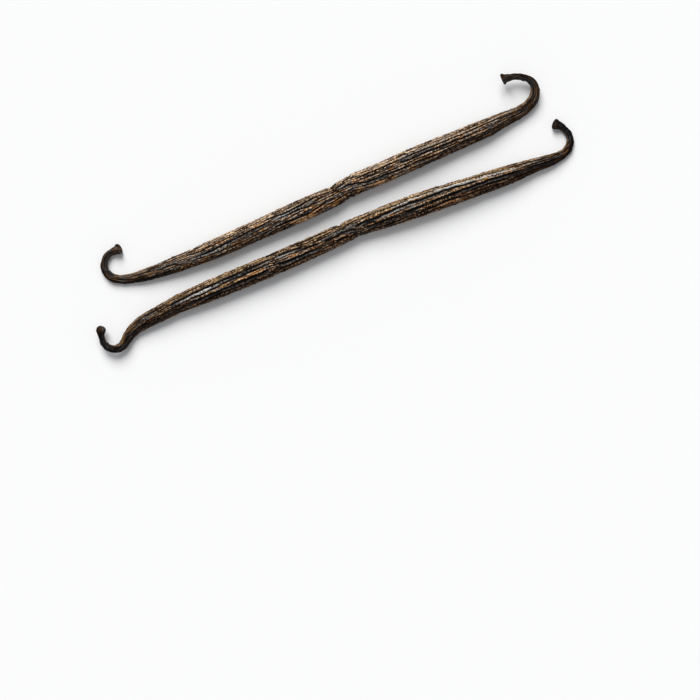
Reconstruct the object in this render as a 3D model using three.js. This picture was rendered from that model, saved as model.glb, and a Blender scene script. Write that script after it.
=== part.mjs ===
// Two cured vanilla pods lying side by side: long, slim, deeply folded lengthwise, with hooked ends.
// Millimetres, +Z up, +X along the pods. The origin is on the ground, under the middle of the pair.

import * as THREE from 'three';

// Driving dimensions of both pods
const HEIGHT_SHARE = 0.84;       // a pod's height over its width, as it lies slightly flattened
const RESTING_SINK = 0.4;        // how deep its round underside is pressed flat where it lies
const FOLDS = 16;                // lengthwise folds round a pod
const COLUMNS = 2 * FOLDS;       // one column of points on each crest and one in each groove
const RING_SPACING = 0.8;        // from one ring of points to the next, as a share of half the width
const RIM_RING_SPACING = 0.4;    // the same in millimetres at an end's rim
const CREASE_RING_SPACING = 0.8; // the same at a crease
const SPACING_GROWTH = 0.35;     // how fast it grows away from a rim or a crease, millimetre by millimetre
const FOLD_DEPTH = 0.5;          // from crest to groove, where the pod is widest
const WIDEST = 4.2;              // half the width there
const CREASE_WIDTH = 1.3;        // how far a crease across the pod reaches along it
const END_DISH = 0.5;            // how far the middle of an end face lies inside its rim
const LUMP_HEIGHT = 0.12;        // slow swellings along a pod
const TWIST_LENGTH = 38;         // how slowly the folds wind one way and back again
const LEAN_LENGTH = 3;           // how far from an end face its lean reaches along the pod

// A pod is drawn as a walk along its middle line, from its left end. bends are [length, turn in
// degrees], left turns positive; girth is [distance walked, half the width there]; lifts are
// [distance walked where the lift starts, distance where it is full, height]; creases are
// [distance walked, slant, depth], the slant being how much further on the crease is at the right side.
// leans say how far the first and the last end face lean back, as run over rise, so that they face a
// little upward. twist is how far the folds wind round the pod, in radians.
const PODS = [
  {
    name: 'pod_back',
    colour: '#564a3f',
    start: [-75.9, 14.37],
    heading: 180,
    bends: [
      [3, 3], [5, 52], [6, 69], [2.5, 24], [4, 17], [4, 7], [10.5, 6], [30, 4], [35, 0], [5, 5.5],
      [6, -1], [5, -6.5], [10, 2], [36.4, -1.5], [6, 4.5], [8, -3.5], [4, 11], [4, 15.5], [5.8, 52],
      [5, 63.5], [9.1, 38],
    ],
    girth: [
      [0, 1.8], [0.45, 2.1], [1, 1.9], [2, 1.45], [4, 1.2], [8, 1.25], [15, 1.5], [21.5, 1.75],
      [27, 2.25], [33, 2.6], [40, 3.1], [48, 3.3], [55, 3.6], [68, 3.7], [80, 3.85], [92, 3.95],
      [101, 3.9], [107, 3.85], [112, 3.95], [122, 3.95], [138, 4.05], [148, 3.8], [158, 3.5],
      [165, 3.25], [171, 2.8], [176, 2.4], [182, 2.05], [187, 1.85], [191.5, 1.45], [196.5, 1.15],
      [201, 1.1], [202.8, 1.55], [203.8, 2.1], [204.3, 1.85],
    ],
    lifts: [[24, 4, 0.8], [178, 200, 3.2]],
    leans: [0.35, 0],
    creases: [[105.9, 2.6, 0.6], [46, -1.5, 0.2]],
    twist: 0.5,
    seed: 1,
  },
  {
    name: 'pod_front',
    colour: '#40352c',
    start: [-92.8, -9.88],
    heading: -127,
    bends: [
      [5.3, 36], [3.5, 39], [6.5, 89], [2.4, 3], [3.5, -17], [7, -19], [8, 2], [10, -6], [32, 1],
      [30, 2], [9, -5.5], [52.5, -1], [8, 2], [10, -3], [5.5, 13], [2.5, 18], [6.7, 69], [5.4, 46],
      [1.4, -3],
    ],
    girth: [
      [0, 0.9], [0.6, 1.55], [1.5, 1.8], [2.4, 1.6], [3.4, 1.2], [5.5, 1.1], [8, 1.3],
      [11, 1.45], [15.5, 1.75], [18.5, 2.0], [21.5, 2.25], [26.5, 2.7], [31.5, 2.95], [41.5, 3.35],
      [49.5, 3.7], [65.5, 3.9], [79.5, 4.1], [95.5, 3.85], [103.5, 3.8], [109.5, 3.7],
      [115.5, 3.7], [123.5, 4.0], [137.5, 4.2], [149.5, 4.05], [161.5, 3.75], [169.5, 3.5],
      [176.5, 3.1], [182.5, 2.6], [189.5, 2.2], [193.5, 1.75], [199.5, 1.38], [203, 1.2],
      [206, 1.25], [207.7, 1.6], [208.7, 2.0], [209.2, 1.8],
    ],
    lifts: [[23, 7, 2.4], [191, 207, 0.6]],
    leans: [0.2, 0.35],
    creases: [[109.7, 2.8, 0.65], [78.5, 1.5, 0.35]],
    twist: -0.6,
    seed: 2,
  },
];

// Where the middle line is after a distance walked, and which way it heads there, in radians.
function placeAt(pod, distance) {
  let [x, y] = pod.start;
  let heading = THREE.MathUtils.degToRad(pod.heading);
  let left = distance;
  for (const [length, turnInDegrees] of pod.bends) {
    const walked = Math.min(length, left);
    const halfTurn = THREE.MathUtils.degToRad(turnInDegrees * walked / length) / 2;
    const chord = halfTurn === 0 ? walked : walked * Math.sin(halfTurn) / halfTurn;
    x += chord * Math.cos(heading + halfTurn);
    y += chord * Math.sin(heading + halfTurn);
    heading += 2 * halfTurn;
    left -= walked;
  }
  return { x, y, heading };
}

// Half the pod's width as a smooth curve through its girth stations: a function of distance.
function girthCurve(pod) {
  const distances = pod.girth.map(([distance]) => distance);
  const halfWidths = pod.girth.map(([, halfWidth]) => halfWidth);
  const curve = new THREE.CubicInterpolant(distances, halfWidths, 1);
  return (distance) => curve.evaluate(distance)[0];
}

// A smooth, irregular wave between -1 and 1 that differs with each seed.
function wander(seed, distance) {
  return 0.6 * Math.sin(distance / 9.5 + 2.4 * seed) + 0.4 * Math.sin(distance / 3.7 + 5.1 * seed);
}

// How far the pod's underside stands off the ground after a distance walked.
function liftAt(pod, distance) {
  let height = 0;
  for (const [low, full, lift] of pod.lifts) {
    height += lift * THREE.MathUtils.smoothstep((distance - low) / (full - low), 0, 1);
  }
  return height;
}

// How far a ring of points leans along the walk, for each millimetre above the middle line.
function leanAt(pod, distance) {
  const [length] = pod.girth.at(-1);
  const nearStart = 1 - THREE.MathUtils.smoothstep(distance, 0, LEAN_LENGTH);
  const nearEnd = THREE.MathUtils.smoothstep(distance, length - LEAN_LENGTH, length);
  return pod.leans[0] * nearStart - pod.leans[1] * nearEnd;
}

// How far the skin lies outside the pod's even outline: folds, creases across it and slow lumps.
function skinRelief(pod, distance, column, angle, halfWidth) {
  const fold = Math.floor(column / 2);
  const isGroove = column % 2 === 1;
  const thickness = Math.min(1, halfWidth / WIDEST);
  const softness = 1 - 0.7 * Math.max(0, -Math.sin(angle));
  const foldStrength = 0.65 + 0.35 * wander(fold + FOLDS * pod.seed, distance);
  let relief = FOLD_DEPTH * foldStrength * thickness * (isGroove ? -0.7 : 0.3);
  for (const [middle, slant, depth] of pod.creases) {
    const offset = (distance - middle - slant * Math.cos(angle)) / CREASE_WIDTH;
    relief -= depth * Math.exp(-offset * offset);
  }
  relief += LUMP_HEIGHT * thickness * wander(pod.seed, distance / 1.6);
  return relief * softness;
}

// How far it is from one ring of points to the next: less at the rims of the end faces and at creases.
function ringSpacing(pod, distance, halfWidth) {
  const [length] = pod.girth.at(-1);
  const fromRim = Math.min(distance, length - distance);
  const fromCrease = Math.min(...pod.creases.map(([middle]) => Math.abs(distance - middle)));
  return Math.min(
    RING_SPACING * halfWidth,
    RIM_RING_SPACING + SPACING_GROWTH * fromRim,
    CREASE_RING_SPACING + SPACING_GROWTH * fromCrease,
  );
}

// The pod as if it were straight: a turned shape along +Y, from one end face to the other.
function straightPod(pod, halfWidthAt) {
  const [length] = pod.girth.at(-1);
  const profile = [new THREE.Vector2(0, END_DISH)];
  let distance = 0;
  while (distance < length - RIM_RING_SPACING / 2) {
    profile.push(new THREE.Vector2(halfWidthAt(distance), distance));
    distance += ringSpacing(pod, distance, halfWidthAt(distance));
  }
  profile.push(new THREE.Vector2(halfWidthAt(length), length));
  profile.push(new THREE.Vector2(0, length - END_DISH));
  return new THREE.LatheGeometry(profile, COLUMNS);
}

// Bends the straight pod along its middle line, folds its skin and presses its underside flat.
function podMesh(pod) {
  const halfWidthAt = girthCurve(pod);
  const geometry = straightPod(pod, halfWidthAt);
  const points = geometry.attributes.position;
  for (let i = 0; i < points.count; i += 1) {
    const halfWidth = Math.hypot(points.getX(i), points.getZ(i));
    const distance = points.getY(i);
    const { x, y, heading } = placeAt(pod, distance);
    const roundPod = Math.atan2(points.getZ(i), points.getX(i)) / (2 * Math.PI);
    const column = (Math.round(roundPod * COLUMNS) + COLUMNS) % COLUMNS;
    const angle = 2 * Math.PI * column / COLUMNS + pod.twist * Math.sin(distance / TWIST_LENGTH);
    const isOnAxis = halfWidth < 1e-6;
    const reach = isOnAxis ? 0 : halfWidth + skinRelief(pod, distance, column, angle, halfWidth);
    const right = reach * Math.cos(angle);
    const middle = halfWidthAt(distance) * HEIGHT_SHARE - RESTING_SINK + liftAt(pod, distance);
    const rise = reach * Math.sin(angle) * HEIGHT_SHARE;
    const along = leanAt(pod, distance) * rise;
    points.setXYZ(
      i,
      x + right * Math.sin(heading) + along * Math.cos(heading),
      y - right * Math.cos(heading) + along * Math.sin(heading),
      Math.max(0, middle + rise),
    );
  }
  geometry.computeVertexNormals();
  const skin = new THREE.MeshStandardMaterial({ color: pod.colour, roughness: 0.55, metalness: 0 });
  const mesh = new THREE.Mesh(geometry, skin);
  mesh.name = pod.name;
  return mesh;
}

const pair = new THREE.Group();
for (const pod of PODS) {
  pair.add(podMesh(pod));
}

export default pair;
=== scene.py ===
"""A pair of cured vanilla pods on a pale table: long, slim, deeply wrinkled, with hooked ends.

Each pod is modelled straight, as a closed tube of many rings, and is then bent along its middle line,
folded lengthwise, creased, wrinkled and pressed flat where it lies. Lengths are millimetres until a
mesh is finished, and +X runs along the pods, as in the frame.
"""

import math

import bmesh
import bpy
from mathutils import Matrix, Vector, noise


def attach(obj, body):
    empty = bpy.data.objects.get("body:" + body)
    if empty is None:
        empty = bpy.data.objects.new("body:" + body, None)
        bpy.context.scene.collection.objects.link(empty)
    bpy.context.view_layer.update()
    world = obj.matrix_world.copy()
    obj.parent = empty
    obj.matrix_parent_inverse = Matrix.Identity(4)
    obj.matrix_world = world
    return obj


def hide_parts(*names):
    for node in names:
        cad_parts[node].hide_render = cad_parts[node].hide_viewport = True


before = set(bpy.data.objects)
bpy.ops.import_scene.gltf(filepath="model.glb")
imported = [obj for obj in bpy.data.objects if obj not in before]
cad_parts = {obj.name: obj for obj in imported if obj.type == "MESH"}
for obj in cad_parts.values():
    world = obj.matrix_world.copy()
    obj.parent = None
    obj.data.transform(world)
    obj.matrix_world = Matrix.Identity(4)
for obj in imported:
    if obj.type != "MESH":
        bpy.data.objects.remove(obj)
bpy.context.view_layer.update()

MM = 0.001

# The form that both pods share with their solids
HEIGHT_SHARE = 0.84  # a pod's height over its width, as it lies slightly flattened
MEAN_RADIUS_SHARE = 0.92  # its mean radius over half its width
RESTING_SINK = 0.4  # how deep its round underside is pressed flat where it lies
WIDEST = 4.2  # half a pod's width where it is widest
CREASE_WIDTH = 1.1  # how far a crease across the pod reaches along it
LUMP_HEIGHT = 0.12  # slow swellings along a pod
TIP_LUMP_HEIGHT = 0.28  # the smaller lumps of the thin hooks
LEAN_LENGTH = 3  # how far from an end face its lean reaches along the pod
RIM_DIP = 0.3  # how much lower an end's rim is on top
UNDERSIDE_SOFTENING = 0.7  # the share of the skin's relief that is pressed out below

# The skin's finer relief, as heights at the widest place. A ridge is split in two in places.
RIDGES = 20  # lengthwise ridges round a pod
RIDGE_CROWDING = 0.35  # how much closer together they are on top, and further apart at the sides
CREST_RISE = 0.09  # of a ridge's top over the pod's even outline
GROOVE_DEPTH = 0.6  # from a ridge's top to the groove beside it
SPLIT_DEPTH = 0.35  # from a ridge's top to its split
GROOVE_LINE = 0.3  # half the width of the dark line at the bottom of a groove, partly own colour and partly painted shade
SPLIT_LINE = 0.24  # half the width of the one in a split
ODD_GROOVES_OPEN = (2.3, 3.2)  # half widths at which every other groove is shut, and wholly open
MORE_GROOVES_OPEN = (1.1, 1.6)  # the same for every other one of the rest
RIDGE_SPLITS = (1.0, 1.6)  # how wide a ridge looks that is whole, and one that is split
RIDGE_STEP = 0.12  # how far one ridge stands above or below the next
HAIRLINE_DEPTH = 0.12  # of the hairlines along a ridge
WRINKLE_HEIGHT = 0.18  # of the small wrinkles across a ridge
WRINKLE_LENGTH = 0.8  # from one of them to the next
PUCKER_HEIGHT = 0.07  # of the slower puckers under them
RIPPLE_LENGTH = 0.8  # from one of the skin's fine ripples to the next
FURROW_DEPTH = 0.6  # of the black furrows that are listed for each pod, partly their own colour and partly painted shade
FURROW_LINE = 0.55  # half the width of the widest
STRAND_SINK = 0.22  # how far an oily strand lies under the ridges beside it
LINE_WANDER = 0.13  # how far a furrow or strand wanders off its listed line
BUCKLE_HEIGHT = 0.35  # of the skin's small buckles beside a crease
BUCKLE_REACH = 3.5  # how far along the pod they go on
WARM_SWELL = 0.15  # how far a warm spot is swollen
RIDGE_SEED = 31.7  # how far apart two seeds are in the noise that shapes the ridges
SKIN_SEED = 13.1  # and in the noise that shapes the finer skin

COLUMNS = 128  # points round a pod
TOP_CROWDING = 0.35  # how much closer together they are on its upper side
RING_GAP = 0.3  # from one ring of points to the next
END_RINGS = 5  # rings of points on an end face

# A pod is a walk along its middle line, from its left end. A distance is how far has been walked, and
# a place across the pod runs from -1 at its right edge to 1 at its left.
#   start, heading: where the walk starts, and which way it heads there in degrees
#   bends: (length, turn in degrees), left turns positive
#   girth: (distance, half the width there)
#   lifts: (distance where the lift starts, distance where it is full, height)
#   leans: how far the first and the last end face lean back, as run over rise
#   end_dishes: how far the middle of the first and the last end face lies inside its rim
#   creases: (distance, slant, depth, how many ridges the skin steps sideways there)
#   winding: (distance, turn of the ridges round the pod there in radians)
#   furrows: (width as a share of the widest, [(distance, place), ...])
#   oily_strands: (half the width, how far it is sunken, [(distance, place, how pale it is), ...]), the
#       pale partly a bloom and partly a painted highlight
#   warm_spots: (distance, place, reach along the pod, reach across), orange-brown and swollen
#   shading: (distance, how dark the right side is there), on the places below shaded_from
#   darkness: (distance, how far the skin there is as dark as a tip)
#   tilt: how far round towards the right edge the furrows and strands are turned, in radians
#   seed: sets the pod's own irregularities
PODS = {
    "pod_back": {
        "start": (-75.9, 14.37),
        "heading": 180,
        "bends": [
            (3, 3), (5, 52), (6, 69), (2.5, 24), (4, 17), (4, 7), (10.5, 6), (30, 4), (35, 0),
            (5, 5.5), (6, -1), (5, -6.5), (10, 2), (36.4, -1.5), (6, 4.5), (8, -3.5), (4, 11),
            (4, 15.5), (5.8, 52), (5, 63.5), (9.1, 38),
        ],
        "girth": [
            (0, 1.8), (0.45, 2.1), (1, 1.9), (2, 1.45), (4, 1.2), (8, 1.25), (15, 1.5),
            (21.5, 1.75), (27, 2.25), (33, 2.6), (40, 3.1), (48, 3.3), (55, 3.6), (68, 3.7),
            (80, 3.85), (92, 3.95), (101, 3.9), (107, 3.85), (112, 3.95), (122, 3.95), (138, 4.05),
            (148, 3.8), (158, 3.5), (165, 3.25), (171, 2.8), (176, 2.4), (182, 2.05), (187, 1.85),
            (191.5, 1.45), (196.5, 1.15), (201, 1.1), (202.8, 1.55), (203.8, 2.1), (204.3, 1.85),
        ],
        "lifts": [(24, 4, 0.8), (178, 200, 3.2)],
        "leans": (0.35, 0),
        "creases": [(105.9, 2.6, 0.6, -0.8), (46, -1.5, 0.12, 0.3)],
        "winding": [
            (55, 0), (61, 0.1), (73, 0.22), (83, 0.5), (92, 0.57), (100, 0.75), (106, 0.8),
            (110, 0.6), (114, 0.35), (119, 0.2), (130, 0.1), (150, 0),
        ],
        "furrows": [
            (0.62, [(14, -0.5), (22, -0.6), (30, -0.65), (36, -0.6), (41, -0.75)]),
            (0.7, [(32, 0.12), (38, 0.15), (41, 0.05)]),
            (0.6, [(43, 0.55), (46, 0.5), (50, 0.4)]),
            (0.7, [(49, -0.03), (54, -0.08), (57, 0.03), (60, 0.08), (65, 0.15), (70, 0.27),
                   (77, 0.27)]),
            (0.62, [(51, -0.4), (57, -0.42), (61, -0.3)]),
            (0.62, [(66, -0.8), (70, -0.68), (75, -0.6)]),
            (0.7, [(76, 0.6), (80, 0.58), (84, 0.45), (88.5, 0.51), (94, 0.6), (98, 0.65),
                   (103, 0.56)]),
            (0.62, [(81, 0.15), (85, 0.18), (89, 0.2), (93, 0.13), (97, 0.15)]),
            (0.7, [(78, -0.42), (83, -0.46), (88, -0.5), (92, -0.5), (96, -0.35), (100, -0.2),
                   (104, -0.22)]),
            (0.62, [(99, -0.52), (104, -0.45), (108, -0.5)]),
            (0.7, [(97, 0.9), (102, 0.86)]),
            (0.62, [(104.5, 0.88), (108, 0.92)]),
            (0.7, [(105, 0.65), (108, 0.6), (110, 0.65)]),
            (0.7, [(107, 0.33), (109.5, 0.33), (112, 0.12), (114.5, -0.12), (117, -0.3), (121, -0.33),
                   (129, -0.4), (134, -0.45)]),
            (0.7, [(113, 0.5), (120, 0.47), (129, 0.48)]),
            (0.6, [(116, 0.2), (122, 0.18), (129, 0.15)]),
            (0.7, [(130, 0.2), (134, 0.1), (138, 0.08), (142, 0.12), (147, 0.08), (153, 0.06), (158, 0),
                   (163, 0.02)]),
            (0.6, [(132, 0.45), (139, 0.46), (146, 0.42), (154, 0.4), (160, 0.38)]),
            (0.6, [(138, 0.82), (146, 0.75), (156, 0.72), (163, 0.72)]),
            (0.7, [(143, -0.52), (150, -0.48), (156, -0.4), (163, -0.35), (170, -0.4), (176, -0.2),
                   (182, -0.15)]),
            (0.7, [(170, 0.35), (176, 0.3), (182, 0.2), (188, 0.2)]),
            (0.6, [(183, 0.55), (189, 0.5), (194, 0.5)]),
            (0.7, [(1.5, 0.2), (6, 0.15), (11, 0.3), (16, 0.5)]),
            (0.5, [(3, -0.35), (9, -0.3), (15, -0.1), (21, 0.1)]),
            (0.7, [(189, 0), (196, 0.1), (202, 0.1)]),
            (0.5, [(186, -0.5), (194, -0.4), (200, -0.45)]),
        ],
        "oily_strands": [
            (0.35, 0.6, [(17, -0.75, 0), (24, -0.7, 0), (32, -0.78, 0), (40, -0.85, 0)]),
            (0.3, 0.4, [(30, 0.4, 0.1), (36, 0.35, 0.35), (41, 0.3, 0.3)]),
            (0.4, 0.7, [(42, -0.35, 0.1), (46, -0.12, 0.3), (50, 0.12, 0.15), (56, 0.12, 0.05),
                        (62, 0.25, 0), (70, 0.2, 0)]),
            (0.33, 0.8, [(48.5, -0.17, 0.7), (53, -0.25, 0.8), (57, -0.2, 0.8), (60, -0.08, 0.6),
                         (64, -0.05, 0.2), (68, 0, 0.15), (73, 0.08, 0.2), (79, 0.18, 0.2)]),
            (0.35, 0.8, [(71, -0.45, 0), (75, -0.47, 0.1), (79.5, -0.52, 0)]),
            (0.5, 0.8, [(79, 0.28, 0.45), (83, 0.34, 0.65), (88, 0.33, 0.5), (92, 0.37, 0.3),
                        (96, 0.45, 0.2)]),
            (0.5, 0.8, [(79, -0.3, 0.3), (84, -0.37, 0.25), (89, -0.38, 0.25), (94, -0.28, 0.2)]),
            (0.3, 0.5, [(98, -0.05, 0.3), (101, -0.08, 0.2), (104, -0.12, 0.5), (108, -0.16, 0.3)]),
            (0.25, 0.3, [(105.5, 0.48, 0.3), (107.5, 0.46, 0.9), (109, 0.42, 0.5)]),
            (0.45, 0.7, [(102, -0.08, 0.5), (105, -0.15, 0.5), (108, -0.2, 0.3)]),
            (0.5, 0.9, [(107.5, 0.25, 0.05), (110, 0.2, 0.1), (112.5, 0.02, 0.2)]),
            (0.4, 0.9, [(111.5, -0.12, 0.3), (114, -0.22, 0.3), (118, -0.2, 0.1), (126, -0.22, 0.05)]),
            (0.3, 0.6, [(115, -0.42, 0.2), (120, -0.43, 0.3), (125, -0.47, 0.2)]),
            (0.45, 0.5, [(130, 0.3, 0.1), (137, 0.27, 0.1), (144, 0.27, 0.1)]),
            (0.35, 0.7, [(147, -0.05, 0.1), (152, -0.02, 0.15), (158, -0.03, 0.1)]),
            (0.35, 0.5, [(162, 0.2, 0.6), (165, 0.17, 0.3), (168.5, 0.13, 0.3)]),
            (0.4, 0.7, [(144, -0.68, 0), (150, -0.62, 0.05), (158, -0.55, 0.05), (166, -0.55, 0)]),
            (0.55, 0.9, [(-1, 0.75, 0), (6, 0.65, 0.05), (12, 0.75, 0), (17, 0.9, 0)]),
            (0.6, 0.9, [(190, 0.7, 0), (198, 0.6, 0.05), (206, 0.55, 0)]),
            (0.35, 0, [(130, 0.57, 0.4), (140, 0.6, 0.5), (148, 0.58, 0.4), (160, 0.58, 0.5)]),
        ],
        "warm_spots": [(113.5, -0.68, 2.2, 0.9), (102, -0.62, 3, 0.7), (123, -0.85, 5, 0.6),
                       (90, -0.8, 6, 0.7)],
        "shading": [(0, 0.8), (25, 0.9), (45, 0.6), (60, 0.45), (90, 0.3), (125, 0.3), (150, 0.65),
                    (180, 0.9)],
        "shaded_from": -0.25,
        "darkness": [(0, 0.4), (12, 0.4), (30, 0.3), (48, 0), (163, 0), (180, 0.35), (190, 0.55),
                     (197, 0.7)],
        "tilt": 0.08,
        "seed": 1,
        "end_dishes": (0.5, 0.5),
    },
    "pod_front": {
        "start": (-92.8, -9.88),
        "heading": -127,
        "bends": [
            (5.3, 36), (3.5, 39), (6.5, 89), (2.4, 3), (3.5, -17), (7, -19), (8, 2), (10, -6),
            (32, 1), (30, 2), (9, -5.5), (52.5, -1), (8, 2), (10, -3), (5.5, 13), (2.5, 18),
            (6.7, 69), (5.4, 46), (1.4, -3),
        ],
        "girth": [
            (0, 0.9), (0.6, 1.55), (1.5, 1.8), (2.4, 1.6), (3.4, 1.2), (5.5, 1.1), (8, 1.3),
            (11, 1.45), (15.5, 1.75), (18.5, 2.0), (21.5, 2.25), (26.5, 2.7), (31.5, 2.95),
            (41.5, 3.35), (49.5, 3.7), (65.5, 3.9), (79.5, 4.1), (95.5, 3.85), (103.5, 3.8),
            (109.5, 3.7), (115.5, 3.7), (123.5, 4.0), (137.5, 4.2), (149.5, 4.05), (161.5, 3.75),
            (169.5, 3.5), (176.5, 3.1), (182.5, 2.6), (189.5, 2.2), (193.5, 1.75), (199.5, 1.38),
            (203, 1.2), (206, 1.25), (207.7, 1.6), (208.7, 2.0), (209.2, 1.8),
        ],
        "lifts": [(23, 7, 2.4), (191, 207, 0.6)],
        "leans": (0.2, 0.35),
        "creases": [(109.7, 2.8, 0.65, 0.7), (78.5, 1.5, 0.2, 0.5)],
        "winding": [
            (40, 0), (55, 0.13), (78, 0.2), (81, 0.2), (92, 0.05), (100, 0), (112, 0),
            (124, 0.19), (134, 0.3), (147, 0.42), (160, 0.47), (167, 0.5), (180, 0.35), (192, 0.25),
        ],
        "furrows": [
            (0.6, [(14, -0.2), (22, -0.25), (30, -0.62), (37, -0.6), (44, -0.5)]),
            (0.5, [(24, -0.35), (33, -0.4), (38, -0.25)]),
            (0.6, [(28, 0.55), (33, 0.6), (38, 0.55)]),
            (1, [(37, 0.32), (44, 0.35), (48, 0.42), (52, 0.48), (57, 0.49), (62, 0.52), (70, 0.54),
                 (75, 0.58), (78.6, 0.6)]),
            (0.7, [(45, 0), (50, -0.05), (54, 0.05), (60, 0.15), (68, 0.17), (78, 0.21)]),
            (1, [(44, -0.45), (50, -0.42), (55, -0.39), (60, -0.35), (65, -0.36), (68, -0.4),
                 (72, -0.38), (77, -0.35)]),
            (0.7, [(50, -0.72), (57, -0.66), (64, -0.7), (72, -0.72)]),
            (1, [(80.5, 0.63), (84, 0.6), (88, 0.53), (92, 0.44)]),
            (0.7, [(87.5, 0.8), (91, 0.71), (94, 0.55)]),
            (0.8, [(87, 0.2), (93, 0.18), (98, 0.1)]),
            (1, [(80, -0.15), (83, -0.3), (90, -0.31), (95, -0.34), (99.5, -0.28)]),
            (0.7, [(82, -0.68), (90, -0.66), (98, -0.7)]),
            (0.7, [(97, 0.62), (104, 0.6)]),
            (0.9, [(99, 0.0), (103, -0.02), (107, 0.08), (110.5, 0.1)]),
            (0.9, [(103.5, -0.42), (109, -0.47)]),
            (0.7, [(107.5, -0.62), (112.5, -0.66)]),
            (0.7, [(106, 0.63), (112, 0.68), (118, 0.7), (124, 0.71), (129, 0.68)]),
            (1, [(111.5, 0.12), (115, 0.2), (118, 0.17), (121, 0.2), (124, 0.3), (130, 0.42),
                 (138, 0.41), (142, 0.44), (147, 0.5), (151, 0.5), (156, 0.46), (161, 0.43)]),
            (0.6, [(132, 0.82), (140, 0.83), (147, 0.83), (155, 0.81), (162, 0.8), (168, 0.74)]),
            (0.8, [(114, -0.1), (117, -0.05), (121, -0.12)]),
            (0.8, [(115, -0.37), (124, -0.33), (129, -0.31)]),
            (0.7, [(117, -0.72), (124, -0.76), (131, -0.7)]),
            (1, [(130, -0.25), (135, -0.23), (140, -0.15), (145, -0.1), (150, -0.03), (155, 0),
                 (160, 0.05), (165, 0.1), (169, 0.06), (175, -0.02), (180, -0.06), (186, -0.1),
                 (194, -0.15)]),
            (0.8, [(135, -0.66), (141, -0.6), (147, -0.46), (153, -0.5)]),
            (0.7, [(136, -0.85), (143, -0.8), (150, -0.77)]),
            (0.7, [(156, -0.3), (164, -0.28), (172, -0.4)]),
            (0.45, [(169, 0.75), (175, 0.7), (182, 0.6), (189, 0.55), (196, 0.5)]),
            (0.35, [(178, 0.35), (185, 0.3), (193, 0.25), (200, 0.2)]),
            (0.7, [(4, 0.5), (8, 0.45), (13, 0.2), (18, 0.25)]),
            (0.8, [(3.5, -0.4), (8, -0.4), (13, -0.1), (19, -0.05)]),
            (0.8, [(198, 0.5), (203, 0.45), (206.5, 0.5)]),
            (0.8, [(197, -0.3), (202, -0.35), (206.5, -0.3)]),
        ],
        "oily_strands": [
            (0.3, 0.5, [(22, 0.05, 0.2), (28, 0.12, 0.25)]),
            (0.3, 0.5, [(26, 0.47, 0.6), (28, 0.46, 0.4), (32, 0.38, 0.2)]),
            (0.5, 0.8, [(39, 0.2, 0.2), (45, 0.22, 0.7), (52, 0.24, 1), (57, 0.28, 0.55),
                        (61, 0.31, 0.25), (70, 0.35, 0.15), (78.6, 0.38, 0.25)]),
            (0.45, 0.8, [(19, -0.4, 0), (24, -0.6, 0), (30, -0.78, 0), (38, -0.75, 0.05),
                         (46, -0.6, 0.05), (52, -0.56, 0.1), (60, -0.48, 0.15), (65, -0.5, 0.15),
                         (70, -0.55, 0.1), (77, -0.5, 0.2)]),
            (0.45, 0.8, [(79.8, 0.44, 0.5), (84, 0.42, 0.5), (88, 0.35, 0.3), (92, 0.27, 0.1)]),
            (0.4, 0.8, [(79.5, -0.05, 0.05), (83, -0.14, 0.05), (86, -0.18, 0)]),
            (0.45, 0.8, [(81, -0.45, 0.15), (86, -0.48, 0.35), (92, -0.49, 0.35), (98, -0.52, 0.3)]),
            (0.6, 0.7, [(98.5, 0.15, 0.05), (101, 0.17, 0.1), (104, 0.33, 0.35), (108, 0.3, 0.25),
                        (113, 0.38, 0.25)]),
            (0.6, 0.6, [(107.5, -0.1, 0.2), (110, -0.22, 0.3), (113, -0.42, 0.25)]),
            (0.3, 0.8, [(112, -0.02, 0.2), (115, 0.05, 0.45), (118, 0.06, 0.4), (121, 0.05, 0.3),
                        (124, 0.12, 0.35), (127, 0.18, 0.6), (130, 0.22, 0.4), (138, 0.28, 0.35),
                        (142, 0.31, 0.45), (148, 0.36, 0.3)]),
            (0.4, 0, [(126, 0.62, 0.4), (129, 0.58, 1), (132, 0.6, 0.9), (135.5, 0.7, 1),
                      (138, 0.67, 0.9), (142, 0.7, 0.4), (146, 0.66, 0.9), (151, 0.66, 1),
                      (155, 0.62, 1), (160, 0.57, 0.7), (163, 0.58, 0.8), (166, 0.53, 1),
                      (171, 0.5, 0.9), (178, 0.45, 0.4), (186, 0.42, 0.2)]),
            (0.4, 0.7, [(116, -0.52, 0.05), (124, -0.54, 0.1), (131, -0.42, 0.05), (137, -0.45, 0.05)]),
            (0.5, 0.9, [(149, -0.17, 0), (157, -0.12, 0.05), (165, -0.08, 0.05), (172, -0.2, 0.1),
                        (180, -0.28, 0.05), (190, -0.4, 0)]),
            (0.9, 0.4, [(2, 0.5, 0.05), (4, 0.1, 0.1), (8, 0, 0.1), (12, -0.4, 0.05), (18, -0.6, 0)]),
            (0.35, 0.9, [(187, -0.8, 0), (194, -0.85, 0), (206, -0.8, 0)]),
            (0.8, 0.3, [(-2, 0.88, 0), (2.5, 0.85, 0)]),
            (0.9, 0.4, [(199, 0.2, 0.05), (203, 0, 0.1), (207.5, 0, 0.1)]),
        ],
        "warm_spots": [(68, -0.12, 7, 0.5), (60, -0.05, 3, 0.4), (88, 0, 4, 0.4), (102, -0.2, 3, 0.5),
                       (150, -0.75, 8, 0.6)],
        "shading": [(0, 0.7), (15, 0.62), (55, 0.62), (100, 0.5), (145, 0.6), (175, 0.82), (190, 0.9)],
        "shaded_from": 0.1,
        "darkness": [(0, 0.4), (3, 0.9), (9, 0.9), (15, 0.3), (50, 0), (170, 0), (199, 0.15),
                     (203, 0.85)],
        "tilt": 0.045,
        "seed": 2,
        "end_dishes": (0.1, 0.5),
    },
}
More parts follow.
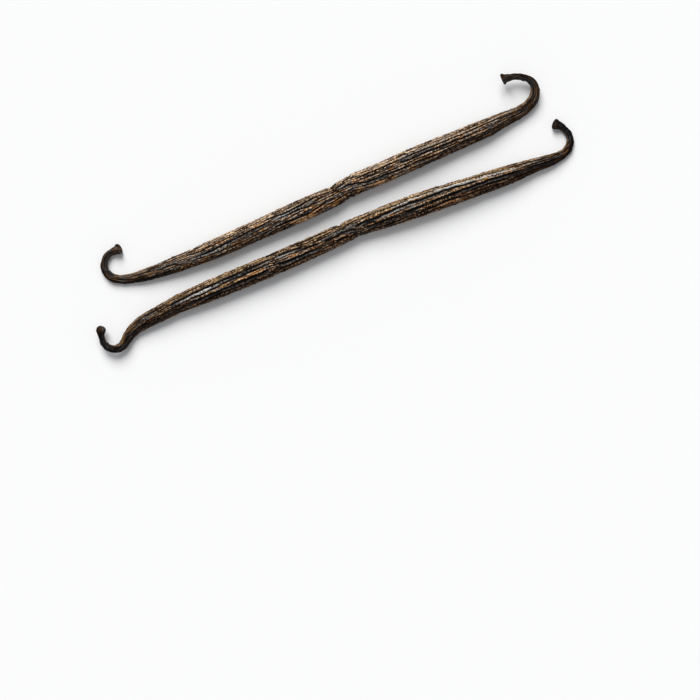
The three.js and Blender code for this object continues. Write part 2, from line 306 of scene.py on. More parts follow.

# What the mesh carries at each point for the skin's colours. All are shares, but for the tone and the
# wrinkle, which run from about -1 to 1.
#   crest: how far the point is on a ridge and not in a groove; its colours are partly painted highlight
#       and shade
#   furrow: how far it is in a black furrow, whose black is partly painted shade
#   tone: how light its ridge is
#   gloss, bloom: how oily it is, and how pale that oily skin is, partly from a bloom and partly from a
#       painted highlight
#   wrinkle: how high it is on the small wrinkles
#   sunny, shade: how far it is on the side towards the light, and how dark on the other
#   warmth, darkness: how far it is in a warm spot, and how far as dark as a tip
#   thinness: how thin the pod is there
MARKS = (
    "crest", "furrow", "tone", "gloss", "bloom_and_sheen", "wrinkle", "sunny", "shade", "warmth", "darkness",
    "thinness",
)


# -------- the shape of a pod


def smooth_share(low, full, value):
    """0 before low, 1 after full, and a smooth rise between them; low may be the larger."""
    share = min(1, max(0, (value - low) / (full - low)))
    return share * share * (3 - 2 * share)


def value_between(points, distance):
    """The value at a distance on a smooth line through points of (distance, value)."""
    for (start, value), (end, next_value) in zip(points, points[1:]):
        if distance < end:
            return value + (next_value - value) * smooth_share(start, end, distance)
    return points[-1][1]


def drift(x, y, z=0.0):
    """Smooth noise of about -1 to 1."""
    return 1.6 * noise.noise(Vector((x, y, z)))


def wander(seed, distance):
    """A smooth, irregular wave between -1 and 1 that differs with each seed."""
    return 0.6 * math.sin(distance / 9.5 + 2.4 * seed) + 0.4 * math.sin(distance / 3.7 + 5.1 * seed)


def place_at(pod, distance):
    """The middle line's place after a distance walked, and its heading there in radians."""
    x, y = pod["start"]
    heading = math.radians(pod["heading"])
    left = distance
    for length, turn in pod["bends"]:
        walked = min(length, left)
        half_turn = math.radians(turn * walked / length) / 2
        chord = walked if half_turn == 0 else walked * math.sin(half_turn) / half_turn
        x += chord * math.cos(heading + half_turn)
        y += chord * math.sin(heading + half_turn)
        heading += 2 * half_turn
        left -= walked
    return x, y, heading


def half_width_at(pod, distance):
    """Half the pod's width, on a smooth curve through its girth stations."""
    girth = pod["girth"]
    last = len(girth) - 2
    span = next((i for i in range(last) if distance < girth[i + 1][0]), last)
    slopes = []
    for station in (span, span + 1):
        low = girth[max(0, station - 1)]
        high = girth[min(len(girth) - 1, station + 1)]
        slopes.append((high[1] - low[1]) / (high[0] - low[0]))
    (start, width), (end, next_width) = girth[span], girth[span + 1]
    length = end - start
    share = min(1, max(0, (distance - start) / length))
    return (
        width + (next_width - width) * smooth_share(start, end, distance)
        + slopes[0] * length * share * (1 - share) ** 2
        - slopes[1] * length * share * share * (1 - share)
    )


def lift_at(pod, distance):
    """How far the pod's underside stands off the ground after a distance walked."""
    return sum(lift * smooth_share(low, full, distance) for low, full, lift in pod["lifts"])


def lean_at(pod, distance):
    """How far a ring of points leans along the walk, for each millimetre above the middle line."""
    length = pod["girth"][-1][0]
    near_start = 1 - smooth_share(0, LEAN_LENGTH, distance)
    near_end = smooth_share(length - LEAN_LENGTH, length, distance)
    return pod["leans"][0] * near_start - pod["leans"][1] * near_end


def share_along(points, fade, distance):
    """1 along a listed line and 0 beyond its two ends, where it fades."""
    start, end = points[0][0], points[-1][0]
    return smooth_share(start - 1, start + fade, distance) * smooth_share(end + 1, end - fade, distance)


def furrows_at(pod, distance):
    """The furrows at a distance: how far round, how far aside, half the width and the strength."""
    furrows = []
    for number, (width_share, points) in enumerate(pod["furrows"]):
        shown = share_along(points, 2, distance)
        if shown > 0:
            round_pod = math.acos(-value_between(points, distance)) - pod["tilt"]
            aside = LINE_WANDER * drift(distance / 2.6, 3.7 * number, pod["seed"])
            strength = 0.85 + 0.4 * drift(distance / 5, 5.3 * number, pod["seed"])
            strength = shown * min(1, max(0.4, strength))
            furrows.append((round_pod, aside, FURROW_LINE * width_share, strength))
    return furrows


def strands_at(pod, distance):
    """The oily strands at a distance: how far round, how far aside, half the width, sink and bloom,
    whose pale is partly a painted highlight.
    """
    strands = []
    for number, (half_width, sunken, points) in enumerate(pod["oily_strands"]):
        shown = share_along(points, 1.5, distance)
        if shown > 0:
            place = value_between([point[:2] for point in points], distance)
            round_pod = math.acos(-place) - pod["tilt"]
            bloom_and_sheen = value_between([(point[0], point[2]) for point in points], distance)
            aside = LINE_WANDER * drift(distance / 2.2, 4.9 * number + 50, pod["seed"])
            half_width *= shown * (1 + 0.25 * drift(distance / 3.1, 2.3 * number + 80, pod["seed"]))
            strands.append((round_pod, aside, half_width, sunken, bloom_and_sheen))
    return strands


def ring_at(pod, distance):
    """What the points of one ring share; its thickness is 1 where a pod is widest."""
    x, y, heading = place_at(pod, distance)
    half_width = half_width_at(pod, distance)
    from_end = min(distance, pod["girth"][-1][0] - distance)
    return {
        "x": x,
        "y": y,
        "heading": heading,
        "half_width": half_width,
        "thickness": min(1, half_width / WIDEST) ** 0.75,
        "lift": lift_at(pod, distance),
        "lean": lean_at(pod, distance),
        "winding": value_between(pod["winding"], distance),
        "shading": value_between(pod["shading"], distance),
        "darkness": value_between(pod["darkness"], distance),
        "near_rim": smooth_share(3, 0.5, from_end),
        "furrows": furrows_at(pod, distance),
        "strands": strands_at(pod, distance),
    }


# -------- the skin's relief


def ridge_count(pod, winding, distance, angle):
    """A place's count among the ridges: whole numbers are the grooves between two of them.

    The ridges sway sideways, slowly over the whole pod and quickly by a little, and they step aside
    at the creases.
    """
    seed = RIDGE_SEED * pod["seed"]
    wound = angle - winding
    across, upward = math.cos(wound), math.sin(wound)
    sway = 0.25 * drift(3.4 * across + seed, 3.4 * upward, distance / 55)
    sway += 0.4 * drift(1.3 * across + seed, 1.3 * upward, distance / 32)
    sway += 0.16 * drift(2.2 * across, 2.2 * upward + seed, distance / 5)
    for middle, slant, _, step in pod["creases"]:
        offset = distance - middle - slant * math.cos(angle)
        sway += step * smooth_share(-0.5, 0.5, offset)
    crowded = wound - RIDGE_CROWDING / 2 * math.sin(2 * angle)
    return (RIDGES * crowded / (2 * math.pi) + sway) % RIDGES


def groove_share(pod, groove, distance, half_width):
    """How open a groove is: deep in some places and nearly closed in others, so that ridges merge.

    Every other groove is closed where the pod is thin, and every other one of the rest at its tips.
    """
    share = 0.95 + 0.6 * drift(7.3 * groove + RIDGE_SEED * pod["seed"], distance / 9)
    share = min(1, max(0.3, share))
    if groove % 2:
        share *= smooth_share(*ODD_GROOVES_OPEN, half_width)
    elif groove % 4:
        share *= smooth_share(*MORE_GROOVES_OPEN, half_width)
    return share


def split_share(pod, ridge, distance, angle, pitch):
    """How far a ridge is split in two, which it is where it looks wide from above or from the side."""
    up = abs(math.sin(angle))
    seen_pitch = pitch * (up + (1 - up) * smooth_share(0.35, 0.15, up))
    irregular = 1.3 * drift(9.1 * ridge + RIDGE_SEED * pod["seed"], distance / 9, 5.0)
    return smooth_share(*RIDGE_SPLITS, seen_pitch + 0.35 * irregular)


def ridge_relief(pod, winding, distance, angle, half_width):
    """The ridges at a place on the skin: their height, their crest, their tone and the count there."""
    seed = RIDGE_SEED * pod["seed"]
    count = ridge_count(pod, winding, distance, angle)
    angle_step = 0.04
    count_step = ridge_count(pod, winding, distance, angle + angle_step) - count
    pitch = MEAN_RADIUS_SHARE * half_width * angle_step / max(0.02, count_step % RIDGES)
    ridge = math.floor(count)
    inside = count - ridge
    split_place = 0.5 + 0.16 * drift(3.3 * ridge + seed, distance / 14, 8.0)
    is_left = inside > split_place

    # Half a ridge runs from its groove, at 0 across, to its split, at 1 across
    ridge_start, ridge_end = (1, split_place) if is_left else (0, split_place)
    across = (inside - ridge_start) / (ridge_end - ridge_start)
    if across < 0.5:
        groove = (ridge + 1 if is_left else ridge) % RIDGES
        edge_share = groove_share(pod, groove, distance, half_width)
        edge_depth, line_width = GROOVE_DEPTH, GROOVE_LINE
    else:
        edge_share = split_share(pod, ridge, distance, angle, pitch)
        edge_depth, line_width = SPLIT_DEPTH, SPLIT_LINE
    rounding = edge_share * abs(2 * across - 1) ** 2
    from_edge = min(across, 1 - across) * abs(ridge_end - ridge_start) * pitch
    line_width *= 0.35 + 0.65 * min(1, half_width / 3.2)
    line = edge_share * math.exp(-((from_edge / line_width) ** 2))

    blend = smooth_share(0.0, 0.3, inside) * smooth_share(1.0, 0.7, inside)
    level = drift(5.9 * ridge + seed, distance / 19, 13.0) * blend
    hairline = drift(2.9 * count + seed, distance / 8, 31.0)
    hairline = math.exp(-((hairline / 0.14) ** 2))
    height = CREST_RISE + RIDGE_STEP * level - edge_depth * (0.7 * rounding + 0.3 * line)
    height -= HAIRLINE_DEPTH * hairline
    # The crest is high on ridge tops and low in grooves, splits and hairlines; its colours are partly
    # painted highlight and shade.
    crest = (1 - line) * (1 - 0.5 * rounding) * (1 - 0.5 * hairline)
    tone = drift(4.7 * ridge + (0.9 if is_left else 0) + seed, distance / 22, 11.0)
    return height, crest, tone, count


def close_beside_furrows(ring, angle, height, crest):
    """The height and the crest once the ridges beside the furrows are closed, and the furrow there."""
    half_width = ring["half_width"]
    furrow = 0
    for round_pod, wave, line_width, strength in ring["furrows"]:
        aside = abs((angle - round_pod) * half_width + wave)
        reach = line_width * ring["thickness"]
        furrow = max(furrow, strength * smooth_share(1.5 * reach, 0.4 * reach, aside))
        beside = strength * smooth_share(2.8 * reach, 1.8 * reach, aside)
        beside *= smooth_share(2.4, 3.6, half_width)
        height += 0.7 * beside * max(0, CREST_RISE - height)
        crest += 0.7 * beside * (1 - crest)
    return height, crest, furrow


def lay_strands(ring, angle, height, crest):
    """The height and the crest once the oily strands lie over the ridges, their gloss and bloom, whose
    pale is partly a painted highlight.
    """
    gloss, bloom_and_sheen = 0, 0
    for round_pod, wave, half_width, sunken, strand_bloom_and_sheen in ring["strands"]:
        aside = abs((angle - round_pod) * ring["half_width"] + wave)
        inside = smooth_share(half_width + 0.12, half_width - 0.18, aside)
        height += inside * ((0.3 - 0.7 * sunken) * (height - CREST_RISE) - STRAND_SINK * sunken)
        crest += inside * 0.8 * (1 - crest)
        gloss = max(gloss, inside * (1 if sunken > 0 else 0.35))
        bloom_and_sheen = max(bloom_and_sheen, inside * strand_bloom_and_sheen)
    return height, crest, gloss, bloom_and_sheen


def press_creases(pod, distance, angle, count, relief, crest):
    """The relief and the crest with the creases across the pod, and the skin buckled beside them; a
    lower crest paints shade in their hollows.
    """
    seed = SKIN_SEED * pod["seed"]
    for middle, slant, depth, _ in pod["creases"]:
        offset = distance - middle - slant * math.cos(angle)
        nearby = depth * math.exp(-((offset / BUCKLE_REACH) ** 2))
        buckle = drift(1.1 * count + seed, offset / 1.3, 5.0)
        relief += BUCKLE_HEIGHT * nearby * buckle
        # Painted shade in the buckles' hollows.
        crest *= 1 - 0.7 * nearby * smooth_share(0.0, -0.6, buckle)
        offset += 1.1 * drift(0.9 * count + seed, 7.0)
        relief -= 0.7 * depth * math.exp(-((offset / (1.4 * CREASE_WIDTH)) ** 2))
        pinch = depth * math.exp(-((offset / (0.4 * CREASE_WIDTH)) ** 2))
        relief -= 0.4 * pinch
        # Painted shade in the crease's pinch.
        crest *= 1 - 0.5 * pinch
    return relief, crest


def warmth_at(pod, distance, place, half_width):
    """How far inside a warm spot a place lies, from 0 to 1."""
    warmth = 0
    ragged = 0.3 * drift(distance, 2 * place, 9.0)
    for middle, warm_place, reach_along, reach_across in pod["warm_spots"]:
        along = (distance - middle) / reach_along
        aside = (place - warm_place) * half_width / reach_across
        warmth = max(warmth, smooth_share(1.4, 0.3, math.hypot(along, aside) + ragged))
    return warmth


def skin_at(pod, ring, distance, angle):
    """How far the skin stands out of the pod's even outline, and its marks, for the colours."""
    half_width, thickness = ring["half_width"], ring["thickness"]
    across, upward = math.cos(angle), math.sin(angle)
    place = -across
    seed = SKIN_SEED * pod["seed"]
    height, crest, tone, count = ridge_relief(pod, ring["winding"], distance, angle, half_width)
    height, crest, furrow = close_beside_furrows(ring, angle, height, crest)
    height, crest, gloss, bloom_and_sheen = lay_strands(ring, angle, height, crest)
    height -= FURROW_DEPTH * furrow
    wrinkle = drift(1.6 * count + seed, distance / WRINKLE_LENGTH + 0.8 * (count % 1))
    height += WRINKLE_HEIGHT * wrinkle * (0.3 + 0.7 * crest) * (1 - 0.4 * gloss)
    height += PUCKER_HEIGHT * drift(0.9 * count + seed, distance / 2.6, 2.0)

    relief, crest = press_creases(pod, distance, angle, count, height * thickness, crest)
    relief += LUMP_HEIGHT * thickness * wander(pod["seed"], distance / 1.6)
    tip_lump = drift(2 * across, 2 * upward + seed, distance / 1.7)
    relief += TIP_LUMP_HEIGHT * (1 - thickness) * tip_lump
    relief -= RIM_DIP * ring["near_rim"] * max(0, upward) ** 2
    warmth = warmth_at(pod, distance, place, half_width)
    relief += WARM_SWELL * warmth * thickness
    crest += 0.5 * warmth * (1 - crest)

    from_shaded = pod["shaded_from"] - place - 0.2 * drift(distance / 9, pod["seed"], 4.0)
    shade = ring["shading"] * smooth_share(0, 0.65, from_shaded) * smooth_share(-0.6, 0.1, upward)
    sunny_from = place + 0.15 * drift(distance / 9, pod["seed"])
    sunny = thickness * smooth_share(0.2, 0.75, sunny_from) * smooth_share(-0.1, 0.4, upward)
    # Painted shade: the crests are darker low on the wall of the left side.
    crest *= 1 - 0.35 * smooth_share(0.4, -0.1, upward) * smooth_share(0, 0.5, place)
    softness = 1 - UNDERSIDE_SOFTENING * max(0, -upward)
    return relief * softness, {
        "crest": crest + 0.1 * (1 - thickness) * (1 - crest),
        "furrow": furrow,
        "tone": tone,
        "gloss": gloss,
        "bloom_and_sheen": bloom_and_sheen,
        "wrinkle": wrinkle,
        "sunny": sunny,
        "shade": shade * (1 - warmth),
        "warmth": warmth,
        "darkness": ring["darkness"],
        "thinness": 1 - thickness,
    }


# -------- building a pod's mesh


def straight_tube(length):
    """A closed tube of radius 1 along +Z: rings of points along it and on both end faces."""
    bm = bmesh.new()
    bmesh.ops.create_cone(
        bm, cap_ends=True, cap_tris=False, segments=COLUMNS, radius1=1, radius2=1, depth=length
    )
    bmesh.ops.translate(bm, verts=bm.verts, vec=(0, 0, length / 2))
    end_faces = [face for face in bm.faces if len(face.verts) == COLUMNS]
    inward = 1 / (END_RINGS + 1)
    for end_face in end_faces:
        for _ in range(END_RINGS):
            bmesh.ops.inset_region(bm, faces=[end_face], thickness=inward, use_even_offset=True)
        bmesh.ops.poke(bm, faces=[end_face])
    lengthwise = [edge for edge in bm.edges if edge.calc_length() > length / 2]
    cuts = round(length / RING_GAP)
    bmesh.ops.subdivide_edges(bm, edges=lengthwise, cuts=cuts, use_grid_fill=True)
    return bm


def bend_and_fold(bm, pod, length):
    """Moves the tube's points onto the pod's skin, and keeps what its colours follow."""
    layers = {name: bm.verts.layers.float.new(name) for name in MARKS}
    straight = bm.verts.layers.float_vector.new("straight_place")
    rings = {}
    for vert in bm.verts:
        share = min(1, math.hypot(vert.co.x, vert.co.y))
        distance = vert.co.z
        if distance not in rings:
            rings[distance] = ring_at(pod, distance)
        ring = rings[distance]
        angle = math.atan2(vert.co.y, vert.co.x)
        angle += TOP_CROWDING * math.cos(angle)
        relief, marks = skin_at(pod, ring, distance, angle)
        reach = share * (ring["half_width"] + relief)
        rise = reach * math.sin(angle) * HEIGHT_SHARE
        along = ring["lean"] * rise
        is_on_end_face = share < 0.999
        if is_on_end_face:
            end = 0 if distance < length / 2 else 1
            dish = pod["end_dishes"][end] * (1 - share * share)
            along += dish if end == 0 else -dish
        right = reach * math.cos(angle)
        height = ring["half_width"] * HEIGHT_SHARE - RESTING_SINK + ring["lift"] + rise
        for name, layer in layers.items():
            vert[layer] = marks[name]
        vert[straight] = (right, distance, reach * math.sin(angle))
        forward_x, forward_y = math.cos(ring["heading"]), math.sin(ring["heading"])
        vert.co = (
            ring["x"] + right * forward_y + along * forward_x,
            ring["y"] - right * forward_x + along * forward_y,
            max(0, height),
        )


def make_pod(name, material):
    """Makes one pod as a finished piece, standing for its solid of the same name."""
    pod = PODS[name]
    length = pod["girth"][-1][0]
    bm = straight_tube(length)
    bend_and_fold(bm, pod, length)
    bmesh.ops.scale(bm, verts=bm.verts, vec=(MM, MM, MM))
    bmesh.ops.recalc_face_normals(bm, faces=bm.faces)
    for face in bm.faces:
        face.smooth = True
    mesh = bpy.data.meshes.new(name + "_skin")
    bm.to_mesh(mesh)
    bm.free()
    mesh.materials.append(material)
    piece = bpy.data.objects.new(name + "_skin", mesh)
    bpy.context.scene.collection.objects.link(piece)
    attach(piece, "root")
    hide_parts(name)


# -------- node tools


def set_inputs(tree, node, inputs):
    """Gives a node's inputs their values, or links them to other nodes' outputs."""
    for key, value in inputs.items():
        if isinstance(value, bpy.types.NodeSocket):
            tree.links.new(value, node.inputs[key])
        else:
            node.inputs[key].default_value = value


def add_node(tree, kind, inputs=None, **settings):
    """A shader node with its settings, whose inputs are values or other nodes' outputs."""
    node = tree.nodes.new(kind)
    for key, value in settings.items():
        setattr(node, key, value)
    set_inputs(tree, node, inputs or {})
    return node


def maths(tree, operation, first, second=0.0, clamp=False):
    """A math node's output."""
    inputs = {0: first, 1: second}
    node = add_node(tree, "ShaderNodeMath", inputs, operation=operation, use_clamp=clamp)
    return node.outputs[0]


def mix_colours(tree, factor, first, second, blend="MIX"):
    """A colour mix node's output."""
    node = add_node(tree, "ShaderNodeMix", data_type="RGBA", blend_type=blend)
    set_inputs(tree, node, {0: factor, 6: first, 7: second})
    return node.outputs[2]


def ramp(tree, value, low, high):
    """A value as a share of the way from low to high, held between 0 and 1."""
    node = add_node(tree, "ShaderNodeMapRange", {0: value, 1: low, 2: high}, clamp=True)
    return node.outputs[0]


def weighted_sum(tree, start, *terms):
    """A number with some values added to it, each times its weight."""
    total = start
    for value, weight in terms:
        inputs = {0: value, 1: weight, 2: total}
        total = add_node(tree, "ShaderNodeMath", inputs, operation="MULTIPLY_ADD").outputs[0]
    return total


def attribute(tree, name, output="Fac"):
    """What the mesh carries under a name."""
    return add_node(tree, "ShaderNodeAttribute", attribute_name=name).outputs[output]


def stretched_noise(tree, scale, detail, place=(0, 0, 0), turn=(0, 0, 0)):
    """Noise on the straight pod's own millimetres, with scale as cells a millimetre on each axis."""
    straight_place = attribute(tree, "straight_place", "Vector")
    inputs = {"Vector": straight_place, "Location": place, "Rotation": turn, "Scale": scale}
    mapping = add_node(tree, "ShaderNodeMapping", inputs)
    inputs = {"Vector": mapping.outputs[0], "Scale": 1.0, "Detail": detail, "Roughness": 0.55}
    return add_node(tree, "ShaderNodeTexNoise", inputs).outputs[0]


def new_group(name, inputs, outputs):
    """An empty node group with named sockets, and its input and output nodes."""
    group = bpy.data.node_groups.new(name, "ShaderNodeTree")
    for label, kind, value in inputs:
        socket = group.interface.new_socket(label, in_out="INPUT", socket_type=kind)
        socket.default_value = value
    for label, kind in outputs:
        group.interface.new_socket(label, in_out="OUTPUT", socket_type=kind)
    return group, group.nodes.new("NodeGroupInput"), group.nodes.new("NodeGroupOutput")


# -------- the pods' materials

# The colours of cured skin. A pod's own colours take the place of those with the same name.
CURED_COLOURS = {
    "Fleck": (0.8, 0.6, 0.42),
    "Crest Tan": (0.56, 0.37, 0.22),
    "Crest Orange": (0.58, 0.245, 0.06),
    "Crest Gold": (0.78, 0.57, 0.375),
    "Crest Grey": (0.42, 0.4, 0.38),
    "Strand Brown": (0.08, 0.04, 0.018),
    "Strand Grey": (0.035, 0.038, 0.042),
    "Oily Dark": (0.005, 0.0052, 0.0055),
    "Oily Grey Reflection": (0.047, 0.051, 0.054),
    # pale bloom on the oily strands, partly a bloom and partly a painted highlight
    "Bloom And Sheen": (0.6, 0.58, 0.55),
    "Groove Brown And Shade": (0.012, 0.0048, 0.0014),
    "Furrow Black And Shade": (0.003, 0.0025, 0.002),
    "Tip Brown": (0.035, 0.021, 0.015),
}
FRONT_POD_COLOURS = {
    "Fleck": (0.8, 0.58, 0.38),
    "Crest Tan": (0.42, 0.26, 0.145),
    "Crest Orange": (0.45, 0.185, 0.04),
    "Crest Gold": (0.6, 0.38, 0.18),
    "Crest Grey": (0.35, 0.335, 0.32),
    "Strand Brown": (0.05, 0.023, 0.01),
    "Tip Brown": (0.008, 0.0062, 0.0055),
}
THREAD_TINT = (0.15, 0.1, 0.07, 1)  # what the dark lengthwise threads leave of the skin's colour
SHADE_TINT = (0.15, 0.095, 0.06, 1)  # and what the darkest of the shaded side leaves of it


def ripples_across(tree):
    """Small ripples across the ridges, each ridge's own, as a wave between -1 and 1."""
    straight_place = attribute(tree, "straight_place", "Vector")
    place = add_node(tree, "ShaderNodeSeparateXYZ", {0: straight_place}).outputs
    sway = stretched_noise(tree, (0.5, 0.4, 0.5), detail=1.0, place=(2, 6, 3))
    tone = attribute(tree, "tone")
    along, aside = (place[1], 2 * math.pi / RIPPLE_LENGTH), (place[0], -4.0)
    phase = weighted_sum(tree, 0.0, along, aside, (tone, 8.0), (sway, 20.0))
    return maths(tree, "SINE", phase)


def crest_colour(tree, marks, colours, sheen):
    """The crests: tan, orange in patches, gold on the sunny side and grey where they shine."""
    sunny, warmth, shade = marks["sunny"], marks["warmth"], marks["shade"]
    patches = stretched_noise(tree, (0.5, 0.2, 0.5), detail=2.0, place=(5, 1, 8))
    patches = ramp(tree, patches, 0.44, 0.56)
    orange_share = weighted_sum(tree, 0.0, (patches, 1.0), (warmth, 1.0), (shade, 0.5))
    orange_share = maths(tree, "SUBTRACT", orange_share, marks["darkness"], clamp=True)
    skin = mix_colours(tree, orange_share, colours["Crest Tan"], colours["Crest Orange"])
    gold_share = maths(tree, "MULTIPLY", sunny, 0.8)
    skin = mix_colours(tree, gold_share, skin, colours["Crest Gold"])
    sheen = ramp(tree, sheen, 0.5, 0.58)
    grey_share = weighted_sum(tree, 0.0, (sheen, 0.95), (sunny, -0.7), (warmth, -1.0), (shade, -0.5))
    grey_share = maths(tree, "MAXIMUM", grey_share, 0.0)
    return mix_colours(tree, grey_share, skin, colours["Crest Grey"])


def ridge_colour(tree, marks, colours, grain, flecks, fibres):
    """The ridges: dark low skin, light crests with flecks and dark threads, brown tips, and grooves
    whose dark is partly painted shade.
    """
    crest, darkness, thinness = marks["crest"], marks["darkness"], marks["thinness"]
    sheen = stretched_noise(tree, (1.0, 0.4, 1.0), detail=2.0, place=(7, 2, 1))
    low_skin = mix_colours(
        tree, ramp(tree, sheen, 0.48, 0.58), colours["Strand Brown"], colours["Strand Grey"]
    )
    lightness = weighted_sum(
        tree,
        0.2,
        (marks["tone"], 0.22),
        (flecks, 0.67),
        (marks["sunny"], 0.12),
        (marks["warmth"], 0.35),
        (darkness, -0.3),
        (thinness, -0.2),
    )
    # Lighter where the crest is high: partly the ridges' own colour and partly a painted highlight on
    # their tops.
    lightness = maths(tree, "MULTIPLY", lightness, ramp(tree, crest, 0.2, 0.9), clamp=True)
    skin = mix_colours(tree, lightness, low_skin, crest_colour(tree, marks, colours, sheen))
    skin = mix_colours(tree, ramp(tree, fibres, 0.5, 0.42), skin, THREAD_TINT, blend="MULTIPLY")
    fleck_share = maths(tree, "MULTIPLY", ramp(tree, grain, 1.4, 1.7), ramp(tree, crest, 0.5, 0.9))
    fleck_share = maths(tree, "MULTIPLY", fleck_share, ramp(tree, thinness, 0.4, 0.1))
    skin = mix_colours(tree, maths(tree, "MULTIPLY", fleck_share, 0.7), skin, colours["Fleck"])
    skin = mix_colours(tree, maths(tree, "MULTIPLY", darkness, 0.8), skin, colours["Tip Brown"])
    # Painted shade over the grooves' own dark brown: the skin turns to the groove colour where the
    # crest is low.
    return mix_colours(tree, ramp(tree, crest, 0.25, 0.8), colours["Groove Brown And Shade"], skin)


def cured_skin_group():
    """Colour, roughness and oily coat of cured pod skin, from the marks that the mesh carries."""
    group, given, out = new_group(
        "cured_skin",
        [(label, "NodeSocketColor", (*value, 1)) for label, value in CURED_COLOURS.items()],
        [("Color", "NodeSocketColor"), ("Roughness", "NodeSocketFloat"), ("Oil", "NodeSocketFloat")],
    )
    colours = given.outputs
    marks = {name: attribute(group, name) for name in MARKS}
    gloss, bloom_and_sheen, darkness, thinness = (
        marks[name] for name in ("gloss", "bloom_and_sheen", "darkness", "thinness")
    )
    fibres = stretched_noise(group, (1.6, 0.14, 1.6), detail=1.5)
    beads = stretched_noise(group, (1.5, 1.5, 1.5), detail=1.5, turn=(0.0, 0.0, 0.5))
    # The wrinkles' share of the grain paints their tops lighter and their hollows darker: painted light
    # and shade.
    grain = weighted_sum(
        group, 0.0, (beads, 2.75), (ripples_across(group), 0.06), (marks["wrinkle"], 0.3)
    )
    flecks = ramp(group, grain, 1.15, 1.45)
    thin_flecks = maths(group, "MULTIPLY", flecks, thinness)
    flecks = weighted_sum(group, flecks, (thin_flecks, -1.3), (thinness, 0.65))
    skin = ridge_colour(group, marks, colours, grain, flecks, fibres)

    # The oily strands: near-black, with grey flecks painted as a reflection on their oily skin.
    grey_flecks = weighted_sum(group, flecks, (darkness, -0.5))
    oily = mix_colours(group, grey_flecks, colours["Oily Dark"], colours["Oily Grey Reflection"])
    skin = mix_colours(group, maths(group, "MULTIPLY", gloss, 0.9), skin, oily)
    # Pale streaks on the oily strands: partly a bloom and partly a painted highlight.
    streaks = weighted_sum(group, 0.0, (grain, 0.24), (fibres, 0.4), (bloom_and_sheen, 0.08))
    streaks = ramp(group, streaks, 0.5, 0.6)
    streaks = maths(group, "MULTIPLY", streaks, maths(group, "POWER", bloom_and_sheen, 1.4))
    skin = mix_colours(group, streaks, skin, colours["Bloom And Sheen"])
    skin = mix_colours(group, marks["shade"], skin, SHADE_TINT, blend="MULTIPLY")
    # The furrows' black: partly their own colour and partly painted shade in them.
    furrow = ramp(group, marks["furrow"], 0.05, 0.65)
    skin = mix_colours(group, furrow, skin, colours["Furrow Black And Shade"])
    roughness = weighted_sum(group, 0.66, (gloss, -0.3), (flecks, -0.1), (darkness, -0.1))
    oil = weighted_sum(group, 0.0, (gloss, 0.08), (bloom_and_sheen, 0.35))
    oil = maths(group, "MULTIPLY", oil, ramp(group, fibres, 0.4, 0.55))
    set_inputs(group, out, {"Color": skin, "Roughness": roughness, "Oil": oil})
    return group


def fine_wrinkles_group():
    """The finest wrinkles and fibres of the skin, as a normal."""
    group, given, out = new_group(
        "fine_wrinkles",
        [
            ("Wrinkle Depth", "NodeSocketFloat", 0.35),
            ("Fibre Depth", "NodeSocketFloat", 0.2),
            ("Ripple Depth", "NodeSocketFloat", 0.05),
        ],
        [("Normal", "NodeSocketVector")],
    )
    wrinkles = stretched_noise(group, (1.3, 1.9, 1.3), detail=3.0, turn=(0.0, 0.0, 0.5))
    fibres = stretched_noise(group, (5.0, 0.35, 5.0), detail=2.0, place=(3, 9, 4))
    height = weighted_sum(
        group,
        0.0,
        (wrinkles, given.outputs["Wrinkle Depth"]),
        (fibres, given.outputs["Fibre Depth"]),
        (ripples_across(group), given.outputs["Ripple Depth"]),
    )
    bump = add_node(group, "ShaderNodeBump", {"Strength": 1.0, "Distance": MM, "Height": height})
    set_inputs(group, out, {"Normal": bump.outputs[0]})
    return group


def pod_material(name, skin_group, wrinkle_group, colours):
    """A pod's skin, with its own colours in the shared effects."""
    material = bpy.data.materials.new(name)
    material.use_nodes = True
    tree = material.node_tree
    tree.nodes.clear()
    skin = add_node(tree, "ShaderNodeGroup", node_tree=skin_group)
    for label, colour in colours.items():
        skin.inputs[label].default_value = (*colour, 1)
    wrinkles = add_node(tree, "ShaderNodeGroup", node_tree=wrinkle_group)
    surface = add_node(
        tree,
        "ShaderNodeBsdfPrincipled",
        {
            "Base Color": skin.outputs["Color"],
            "Roughness": skin.outputs["Roughness"],
            "Specular IOR Level": 0.05,
            "Coat Weight": skin.outputs["Oil"],
            "Coat Roughness": 0.3,
            "Normal": wrinkles.outputs["Normal"],
        },
    )
    add_node(tree, "ShaderNodeOutputMaterial", {"Surface": surface.outputs[0]})
    return material


# -------- the table, the light and the camera

TABLE_SIZE = 6.0  # in metres
TABLE_COLOUR = (0.885, 0.88, 0.872, 1)
HORIZON_COLOUR = (0.95, 0.95, 0.95, 1)
CEILING_COLOUR = (0.32, 0.33, 0.345, 1)
HORIZON_END, CEILING_START = 0.04, 0.3  # as the height of a direction of length 1

VIEW_CENTRE = (-10.9, -52.4)  # the point of the table under the camera
VIEW_WIDTH = 259  # what the camera takes in at the pods' height
VIEW_TURN = math.radians(22)  # how far the pods slope in the view
POD_MIDDLE_HEIGHT = 3.2
LENS = 100
SENSOR = 36

KEY_LIGHT_FROM = (-0.25, 0.85)  # rightwards and upwards in the view
KEY_LIGHT_ELEVATION = math.radians(42)
KEY_LIGHT_SOFTNESS = math.radians(42)  # how wide the light looks from the table
KEY_LIGHT_STRENGTH = 3.55


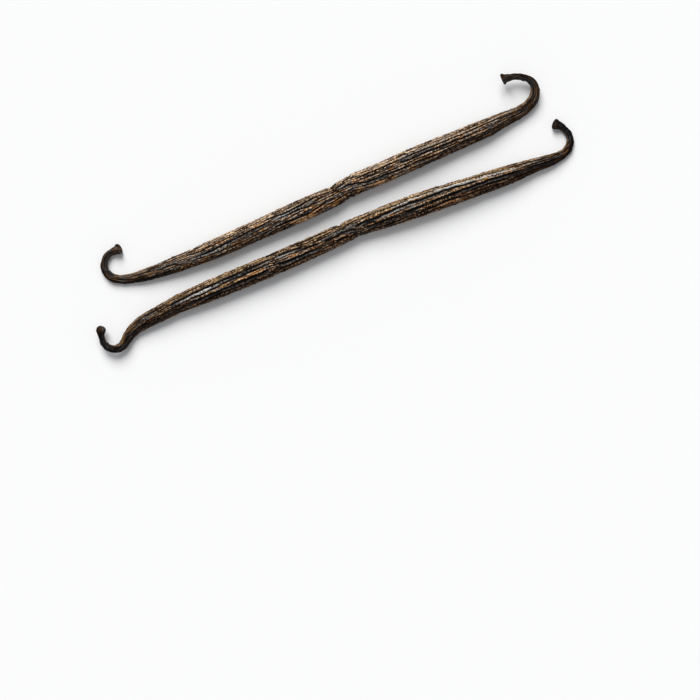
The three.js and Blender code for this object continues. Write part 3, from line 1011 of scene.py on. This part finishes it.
def add_table():
    """A plain pale table top, which isn't part of the object."""
    bm = bmesh.new()
    bmesh.ops.create_grid(bm, x_segments=1, y_segments=1, size=TABLE_SIZE / 2)
    mesh = bpy.data.meshes.new("table_top")
    bm.to_mesh(mesh)
    bm.free()
    material = bpy.data.materials.new("pale_table")
    material.use_nodes = True
    surface = material.node_tree.nodes["Principled BSDF"]
    surface.inputs["Base Color"].default_value = TABLE_COLOUR
    surface.inputs["Roughness"].default_value = 0.9
    mesh.materials.append(material)
    table = bpy.data.objects.new("table_top", mesh)
    bpy.context.scene.collection.objects.link(table)


def add_camera():
    """The camera looks straight down, turned so that the pods slope as they lie."""
    data = bpy.data.cameras.new("camera")
    data.lens = LENS
    data.sensor_width = SENSOR
    data.clip_start = 0.01
    camera = bpy.data.objects.new("camera", data)
    height = VIEW_WIDTH * LENS / SENSOR + POD_MIDDLE_HEIGHT
    place = Matrix.Translation((VIEW_CENTRE[0] * MM, VIEW_CENTRE[1] * MM, height * MM))
    camera.matrix_world = place @ Matrix.Rotation(-VIEW_TURN, 4, "Z")
    bpy.context.scene.collection.objects.link(camera)
    bpy.context.scene.camera = camera


def add_key_light():
    """A soft, even light from behind the pods."""
    data = bpy.data.lights.new("key_light", "SUN")
    data.angle = KEY_LIGHT_SOFTNESS
    data.energy = KEY_LIGHT_STRENGTH
    light = bpy.data.objects.new("key_light", data)
    across = Vector((*KEY_LIGHT_FROM, 0)).normalized() @ Matrix.Rotation(VIEW_TURN, 3, "Z")
    towards = Vector((across.x, across.y, math.tan(KEY_LIGHT_ELEVATION)))
    light.rotation_euler = towards.to_track_quat("Z", "Y").to_euler()
    bpy.context.scene.collection.objects.link(light)


def add_room():
    """A pale room, lighter near the horizon than above."""
    world = bpy.data.worlds.new("studio")
    world.use_nodes = True
    tree = world.node_tree
    place = add_node(tree, "ShaderNodeTexCoord").outputs["Generated"]
    height = add_node(tree, "ShaderNodeSeparateXYZ", {0: place}).outputs[2]
    height = ramp(tree, height, HORIZON_END, CEILING_START)
    colour = mix_colours(tree, height, HORIZON_COLOUR, CEILING_COLOUR)
    set_inputs(tree, tree.nodes["Background"], {"Color": colour})
    bpy.context.scene.world = world
    bpy.context.scene.view_settings.view_transform = "Standard"


# -------- the scene

skin_effect = cured_skin_group()
wrinkle_effect = fine_wrinkles_group()
for pod_name, own_colours in (("pod_back", {}), ("pod_front", FRONT_POD_COLOURS)):
    skin = pod_material(pod_name + "_skin", skin_effect, wrinkle_effect, own_colours)
    make_pod(pod_name, skin)

add_table()
add_camera()
add_key_light()
add_room()
